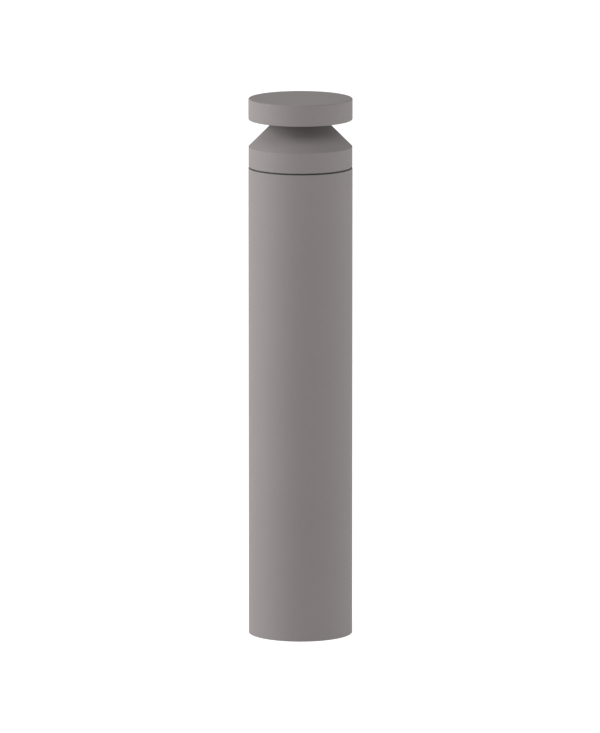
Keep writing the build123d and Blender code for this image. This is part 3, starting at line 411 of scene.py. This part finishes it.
def thread_points(angle, radius, low, high, pitch):
    """Outline of a screw thread at an angle, with a small lead-in at both ends."""
    depth = 0.54 * pitch
    rows = round(4 * (high - low) / pitch)
    points = []
    for row in range(rows + 1):
        level = low + (high - low) * row / rows
        phase = (level / pitch - angle / (2 * pi)) % 1.0
        lead_in = depth - min(level - low, high - level)
        points.append((radius - max(0.0, lead_in, depth * abs(2 * phase - 1)), level))
    return points


def nut(corner, bore, low, high):
    """Hexagon nut with chamfered corners and a countersunk bore."""
    flat = corner * cos(pi / 6)
    sink = 0.08 * bore

    def outline(angle):
        radius = hexagon_radius(angle, corner)
        shoulder = 0.55 * (radius - flat)
        return [(bore + sink, low), (flat, low), (radius, low + shoulder), (radius, high - shoulder),
                (flat, high), (bore + sink, high), (bore, high - sink), (bore, low + sink)]

    return turned_skin(outline, ROUND_STEPS)


def collar(bore, radius, low, high, bevel):
    """Ring with bevelled edges on its outside."""
    points = [(bore, low), (radius - bevel, low), (radius, low + bevel), (radius, high - bevel),
              (radius - bevel, high), (bore, high)]
    return turned_skin(lambda angle: points, ROUND_STEPS)


def slab(low, high, bevel, segments=2):
    """Block between two corners with rounded edges."""
    shape = bmesh.new()
    low, high = Vector(low), Vector(high)
    place = Matrix.Translation((low + high) / 2) @ Matrix.Diagonal((*(high - low), 1.0))
    bmesh.ops.create_cube(shape, size=1.0, matrix=place)
    bmesh.ops.bevel(shape, geom=list(shape.edges), offset=bevel, segments=segments, profile=0.5,
                    affect="EDGES", clamp_overlap=True)
    return shape


def border(xs, ys, zs, width, bevel):
    """Mitred border round a rectangle that lies in the XZ plane."""
    profile = [(0, ys[0] + bevel), (bevel, ys[0]), (width - bevel, ys[0]), (width, ys[0] + bevel),
               (width, ys[1] - bevel), (width - bevel, ys[1]), (bevel, ys[1]), (0, ys[1] - bevel)]
    corners = [(xs[0], zs[0], 1, 1), (xs[1], zs[0], -1, 1), (xs[1], zs[1], -1, -1), (xs[0], zs[1], 1, -1)]
    return looped_skin([[(x + u * inward_x, y, z + u * inward_z) for u, y in profile]
                        for x, z, inward_x, inward_z in corners])


def axis_of(node):
    """Centre of an upright node, its radius along X and its two levels."""
    low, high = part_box(node)
    return Vector(((low.x + high.x) / 2, (low.y + high.y) / 2, 0)), (high.x - low.x) / 2, low.z, high.z


# ---- Threads, nuts and glands ----
def add_base_earth():
    """Threaded stud and two chamfered nuts on the base plate."""
    centre, radius, low, high = axis_of("base_earth_stud")
    shape = turned_skin(lambda angle: [(0, low), *thread_points(angle, radius, low, high, M6_PITCH),
                                       (0, high)], ROUND_STEPS)
    place = Matrix.Translation(centre)
    add_piece("base_earth_thread", placed(shape, place), "stainless", "base", ("base_earth_stud",))
    corner, low, high = axis_of("base_earth_nuts")[1:]
    nuts = placed(earth_nuts(corner, radius, low, high), place)
    add_piece("base_earth_hexes", nuts, "brass", "base", ("base_earth_nuts",))


def earth_nuts(corner, stud, low, high):
    """Two nuts with room for a cable's ring between them."""
    height = (high - low - EARTH_NUT_SPACE) / 2
    return merged([nut(corner, stud + THREAD_PLAY, level, level + height)
                   for level in (low, high - height)])


def add_tube_earth():
    """Threaded stud on its weld collar and two nuts, on the rear inside wall of the tube."""
    low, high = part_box("tube_earth_stud")
    nuts_low, nuts_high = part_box("tube_earth_nuts")
    root = (high.x - low.x) / 2
    corner = (nuts_high.x - nuts_low.x) / 2
    stud = axis_of("base_earth_stud")[1]
    place = Matrix.Translation((0, high.y, (low.z + high.z) / 2)) @ Matrix.Rotation(pi / 2, 4, "X")
    collar_top = high.y - nuts_high.y - 0.2 * MM
    tip = high.y - low.y
    shape = turned_skin(lambda angle: [(0, 0), (root, 0), (root, 0.7 * collar_top), (stud, collar_top),
                                       *thread_points(angle, stud, collar_top, tip, M6_PITCH), (0, tip)],
                        ROUND_STEPS)
    add_piece("tube_earth_thread", placed(shape, place), "stainless", "tube", ("tube_earth_stud",))
    nuts = earth_nuts(corner, stud, high.y - nuts_high.y, high.y - nuts_low.y)
    add_piece("tube_earth_hexes", placed(nuts, place), "brass", "tube", ("tube_earth_nuts",))


def add_nipple():
    """Hollow threaded nipple and its nut under the cone's top."""
    radius, low, high = axis_of("wire_nipple")[1:]
    bore = radius - NIPPLE_WALL
    shape = turned_skin(lambda angle: [(bore, low), *thread_points(angle, radius, low, high, FINE_PITCH),
                                       (bore, high)], ROUND_STEPS)
    add_piece("nipple_thread", shape, "brass", "head", ("wire_nipple",))
    corner, low, high = axis_of("nipple_nut")[1:]
    hexagon = nut(corner, radius + THREAD_PLAY, low, high)
    add_piece("nipple_hex", hexagon, "brass", "head", ("nipple_nut",))


def gland_places():
    """The two glands' axes, worked out from the outside of the pair of locknuts."""
    low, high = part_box("gland_locknuts")
    middle_y = (low.y + high.y) / 2
    return [Matrix.Translation((x, middle_y, 0))
            for x in (low.x + GLAND_CORNER, high.x - GLAND_CORNER)]


def add_at_glands(name, make, replaced):
    """One copy of a gland's piece on each axis."""
    copies = [placed(make(), place) for place in gland_places()]
    add_piece(name, merged(copies), "dark_plastic", "base", (replaced,))


def gland_body():
    """Smooth neck for the dome nut, a chamfered hexagon flange, and the thread inside the box."""
    low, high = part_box("gland_bodies")
    flange_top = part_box("connection_box")[0].z
    flange_low = flange_top - GLAND_FLANGE_T
    flat = GLAND_CORNER * cos(pi / 6)

    def outline(angle):
        corner = hexagon_radius(angle, GLAND_CORNER)
        shoulder = 0.55 * (corner - flat)
        return [(GLAND_BORE, low.z), (GLAND_R, low.z), (GLAND_R, flange_low), (flat, flange_low),
                (corner, flange_low + shoulder), (corner, flange_top), (GLAND_R, flange_top),
                *thread_points(angle, GLAND_R, flange_top, high.z, FINE_PITCH), (GLAND_BORE, high.z)]

    return turned_skin(outline, ROUND_STEPS)


def gland_locknut():
    """Chamfered locknut inside the box."""
    low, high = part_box("gland_locknuts")
    return nut(GLAND_CORNER, GLAND_R + THREAD_PLAY, low.z, high.z)


def gland_dome():
    """Fluted dome nut with a rounded mouth."""
    low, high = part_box("gland_domes")
    radius = (high.y - low.y) / 2
    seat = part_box("gland_seals")[0].z
    mouth = GLAND_BORE - 0.5 * MM
    thread = GLAND_R + THREAD_PLAY

    def outline(angle):
        fluted = radius - GLAND_FLUTE_DEPTH * abs(sin(GLAND_FLUTES * angle / 2))
        return [(mouth, low.z + 0.4 * MM), (GLAND_BORE, low.z), (radius - 2.0 * MM, low.z),
                (radius - 0.9 * MM, low.z + 0.35 * MM), (radius - 0.25 * MM, low.z + 1.1 * MM),
                (radius, low.z + 2.0 * MM), (fluted, low.z + 2.6 * MM), (fluted, high.z - 0.8 * MM),
                (radius - 0.5 * MM, high.z), (thread, high.z), (thread, seat), (mouth, seat)]

    return turned_skin(outline, 3 * ROUND_STEPS)


def add_glands():
    """Cable glands under the connection box."""
    add_at_glands("gland_threads", gland_body, "gland_bodies")
    add_at_glands("gland_hexes", gland_locknut, "gland_locknuts")
    add_at_glands("gland_fluted_domes", gland_dome, "gland_domes")


# ---- Connection box ----
def add_lid_relief():
    """Raised border and five ribs on the lid, and three thin ribs on the box's right side."""
    low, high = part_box("connection_box_lid")
    box_low, box_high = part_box("connection_box")
    margin = 3 * MM
    half_rib = MM
    ys = (low.y - 0.5 * MM, low.y + 0.8 * MM)
    xs = (-box_high.x + margin, box_high.x - margin)
    zs = (low.z + margin, high.z - margin)
    bars = [border(xs, ys, zs, 1.6 * MM, ROUNDING)]
    middle_z = (low.z + high.z) / 2
    for step in range(-2, 3):
        z = middle_z + 8 * MM * step
        bars.append(slab((xs[0] + 6 * MM, ys[0], z - half_rib), (xs[1] - 18 * MM, ys[1], z + half_rib),
                         ROUNDING))
    add_piece("lid_relief", merged(bars), "box_plastic", "box_lid")
    ribs = []
    for z in (box_low.z + 30 * MM, middle_z, box_high.z - 30 * MM):
        ribs.append(slab((box_high.x - ROOTED, box_low.y + 6 * MM, z - half_rib),
                         (box_high.x + 0.8 * MM, box_high.y - 4 * MM, z + half_rib), ROUNDING))
    add_piece("box_side_ribs", merged(ribs), "box_plastic", "base")


def add_lever_ribs():
    """Finger ribs on each lever's arm, above its lip."""
    pitch = 1.6 * MM
    inset = 0.5 * MM
    for pole in POLES:
        low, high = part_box(f"lever_{pole}")
        arm_front = low.y + LEVER_LIP
        ribs = []
        for step in range(3):
            z = low.z + 3.6 * MM + pitch * step
            ribs.append(slab((low.x + inset, arm_front - 0.35 * MM, z),
                             (high.x - inset, arm_front + ROOTED, z + pitch / 2), 0.15 * MM))
        add_piece(f"lever_ribs_{pole}", merged(ribs), "lever_plastic", f"{pole}_lever")


def add_terminal_relief():
    """Wire funnels and blank marker plates on the terminal block."""
    low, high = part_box("terminal_block")
    levers = [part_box(f"lever_{pole}") for pole in POLES]
    centres = [(lever_low.x + lever_high.x) / 2 for lever_low, lever_high in levers]
    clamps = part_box("terminal_clamps")
    wire_y = (clamps[0].y + clamps[1].y) / 2
    foot = low.z
    half_plate = 2.6 * MM
    funnels = []
    plates = []
    for x in centres:
        funnel = collar(WIRE_R, WIRE_R + 0.9 * MM, foot - 0.8 * MM, foot + SUNK, FINE_EDGE)
        funnels.append(placed(funnel, Matrix.Translation((x, wire_y, 0))))
        plates.append(slab((x - half_plate, low.y - 0.3 * MM, high.z - 7.6 * MM),
                           (x + half_plate, low.y + MM, high.z - 3.4 * MM), 0.25 * MM))
    add_piece("wire_funnels", merged(funnels), "terminal_plastic", "base")
    add_piece("terminal_markers", merged(plates), "board_white", "base")


def add_fuse_relief():
    """Ridges above and below the fuse holder's well, and grip ridges on its carrier."""
    low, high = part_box("fuse_base")
    carrier_low, carrier_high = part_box("fuse_carrier")
    margin = 2 * MM
    ridges = []
    for level in (low.z + 1.6 * MM, low.z + 4.2 * MM, high.z - 2.6 * MM, high.z - 5.2 * MM):
        ridges.append(slab((low.x + margin, low.y - 0.4 * MM, level),
                           (high.x - margin, low.y + 0.6 * MM, level + MM), 0.25 * MM))
    add_piece("fuse_base_ridges", merged(ridges), "terminal_plastic", "base")
    middle = (carrier_low + carrier_high) / 2
    half_width = 2.4 * MM
    half_grip = 0.45 * MM
    grips = []
    for step in range(-3, 4):
        z = middle.z + 2 * MM * step
        grips.append(slab((middle.x - half_width, carrier_low.y - 0.3 * MM, z - half_grip),
                          (middle.x + half_width, carrier_low.y + 1.6 * MM, z + half_grip), FINE_EDGE))
    add_piece("fuse_grip_ridges", merged(grips), "dark_plastic", "fuse_drawer")


# ---- Gear on the tray ----
def add_driver_relief():
    """End caps, cooling ribs and a blank plate on the driver's front, and a bush round its lead."""
    low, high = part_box("led_driver")
    case_low = low.z + DRIVER_EAR
    case_high = high.z - DRIVER_EAR
    front = low.y
    overlap = 0.4 * MM
    cap_height = 8 * MM
    caps = []
    for z in (case_low - 0.3 * MM, case_high - 7.7 * MM):
        caps.append(slab((low.x - overlap, front - overlap, z),
                         (high.x + overlap, high.y - MM, z + cap_height), 1.2 * MM))
    add_piece("driver_end_caps", merged(caps), "driver_white", "head")
    half_rib = 0.7 * MM
    ribs = []
    for step in range(8):
        inset = 14 * MM + 3.5 * MM * step
        for z in (case_low + inset, case_high - inset):
            ribs.append(slab((low.x + 3 * MM, front - 0.7 * MM, z - half_rib),
                             (high.x - 3 * MM, front + ROOTED, z + half_rib), SMALL_EDGE))
    add_piece("driver_ribs", merged(ribs), "driver_white", "head")
    middle = (case_low + case_high) / 2
    half_plate = 28 * MM
    plate = slab((low.x + 4 * MM, front - 0.3 * MM, middle - half_plate),
                 (high.x - 4 * MM, front + ROOTED, middle + half_plate), FINE_EDGE)
    add_piece("driver_plate", plate, "pad_grey", "head")
    lead_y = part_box("led_lead")[0].y + LEAD_R
    bush = collar(LEAD_R, 1.9 * LEAD_R, case_high, case_high + 3 * MM, FULL_EDGE)
    add_piece("driver_bush", placed(bush, Matrix.Translation((0, lead_y, 0))), "black_rubber", "head")


def add_lead_bushes():
    """Rubber bush where each side lead enters the inlet, the driver and the surge protector."""
    surge_low, surge_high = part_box("surge_protector")
    inset = Vector((0, LEAD_R, LEAD_R))
    bushes = []
    for side, lead, start_x, end_x in ((1, "inlet_lead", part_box("inlet_socket")[1].x, surge_high.x),
                                       (-1, "driver_lead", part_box("led_driver")[0].x, surge_low.x)):
        lead_low, lead_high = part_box(lead)
        start = lead_low + inset
        end = lead_high - inset
        turn = Matrix.Rotation(side * pi / 2, 4, "Y")
        for place in ((start_x, start.y, start.z), (end_x, end.y, end.z)):
            bush = collar(LEAD_R, 1.8 * LEAD_R, 0, 2.5 * MM, FULL_EDGE)
            bushes.append(placed(bush, Matrix.Translation(place) @ turn))
    add_piece("lead_bushes", merged(bushes), "black_rubber", "head")


def add_surge_relief():
    """Rim, blank plate and status window on the surge protector's back."""
    low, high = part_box("surge_protector")
    margin = 2 * MM
    half_window = 4 * MM
    ys = (high.y - ROOTED, high.y + 0.5 * MM)
    xs = (low.x + margin, high.x - margin)
    zs = (low.z + margin, high.z - margin)
    add_piece("surge_rim", border(xs, ys, zs, 1.2 * MM, SMALL_EDGE), "dark_plastic", "head")
    plate = slab((low.x + 6 * MM, ys[0], low.z + 8 * MM),
                 (high.x - 6 * MM, ys[1] - 0.2 * MM, high.z - 18 * MM), FINE_EDGE)
    add_piece("surge_plate", plate, "pad_grey", "head")
    window = slab((-half_window, ys[0], high.z - 12 * MM), (half_window, ys[1], high.z - 7 * MM),
                  ROUNDING, 3)
    add_piece("surge_window", window, "lever_plastic", "head")


def add_inlet_relief():
    """Latch tongue with finger ridges and two guide ribs on the inlet's front."""
    low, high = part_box("inlet_socket")
    front = low.y
    root = front + 0.6 * MM
    half_tongue = 4 * MM
    half_ridge = 3.2 * MM
    rib_width = 1.5 * MM
    rib_inset = 2 * MM
    bars = [slab((-half_tongue, front - 1.4 * MM, low.z + 3 * MM), (half_tongue, root, high.z - 5 * MM),
                 FULL_EDGE)]
    for step in range(4):
        z = low.z + 5 * MM + 2 * MM * step
        bars.append(slab((-half_ridge, front - 1.9 * MM, z), (half_ridge, front - MM, z + 0.9 * MM),
                         0.25 * MM))
    for x in (low.x + rib_inset, high.x - rib_inset - rib_width):
        bars.append(slab((x, front - 0.8 * MM, low.z + MM), (x + rib_width, root, high.z - MM), ROUNDING))
    add_piece("inlet_latch", merged(bars), "dark_plastic", "head")


# ---- Foot ----
def add_anchor_seats():
    """Raised machined seat round each anchor hole in the base plate."""
    plate_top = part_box("box_bracket")[0].z
    seats = []
    for index in range(ANCHORS):
        turn = Matrix.Rotation(2 * pi * (index + 0.5) / ANCHORS, 4, "Z")
        seat = collar(ANCHOR_R, 1.8 * ANCHOR_R, plate_top - SUNK, plate_top + MM, ROUNDING)
        seats.append(placed(seat, turn @ Matrix.Translation((ANCHOR_PCR, 0, 0))))
    add_piece("anchor_seats", merged(seats), "cast_alloy", "base")


# ---- Light source ----
def add_connector():
    """Board connector with a rounded housing, a latch and a collar round its lead."""
    low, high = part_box("board_connector")
    lead_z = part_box("led_lead")[1].z - LEAD_R
    middle_y = (low.y + high.y) / 2
    rib_width = 1.5 * MM
    half_latch = 2 * MM
    bush_length = 2.5 * MM
    body = [slab(low, high, FULL_EDGE)]
    for y in (low.y + rib_width, high.y - 2 * rib_width):
        body.append(slab((low.x + MM, y, low.z - 0.5 * MM),
                         (high.x - MM, y + rib_width, low.z + 0.6 * MM), SMALL_EDGE))
    body.append(slab((high.x - ROOTED, middle_y - half_latch, low.z + MM),
                     (high.x + MM, middle_y + half_latch, high.z - 1.5 * MM), ROUNDING))
    bush = collar(LEAD_R, LEAD_R + MM, 0, bush_length, ROUNDING)
    place = Matrix.Translation((low.x - bush_length, middle_y, lead_z)) @ Matrix.Rotation(pi / 2, 4, "Y")
    body.append(placed(bush, place))
    add_piece("board_plug", merged(body), "terminal_plastic", "head", ("board_connector",))


def add_led_packages():
    """Each LED as a bevelled package with a raised round window underneath."""
    low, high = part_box("leds")
    half = LED_SIZE / 2
    out = Matrix.Translation((high.x - half, 0, 0))
    shapes = []
    for index in range(LEDS):
        turn = Matrix.Rotation(2 * pi * index / LEDS, 4, "Z") @ out
        package = slab((-half, -half, low.z + 0.2 * MM), (half, half, high.z), FINE_EDGE)
        window = collar(0, 0.4 * LED_SIZE, low.z, low.z + 0.4 * MM, 0.15 * MM)
        shapes += [placed(package, turn), placed(window, turn)]
    add_piece("led_packages", merged(shapes), "led_yellow", "head", ("leds",))


add_camera()
add_lights()
add_floor()
bpy.context.scene.view_settings.view_transform = "Standard"
MATERIALS = materials()
coat_nodes()
for add_detail in (add_base_earth, add_tube_earth, add_nipple, add_glands, add_lid_relief,
                   add_lever_ribs, add_terminal_relief, add_fuse_relief, add_driver_relief,
                   add_lead_bushes, add_surge_relief, add_inlet_relief, add_anchor_seats,
                   add_connector, add_led_packages):
    add_detail()
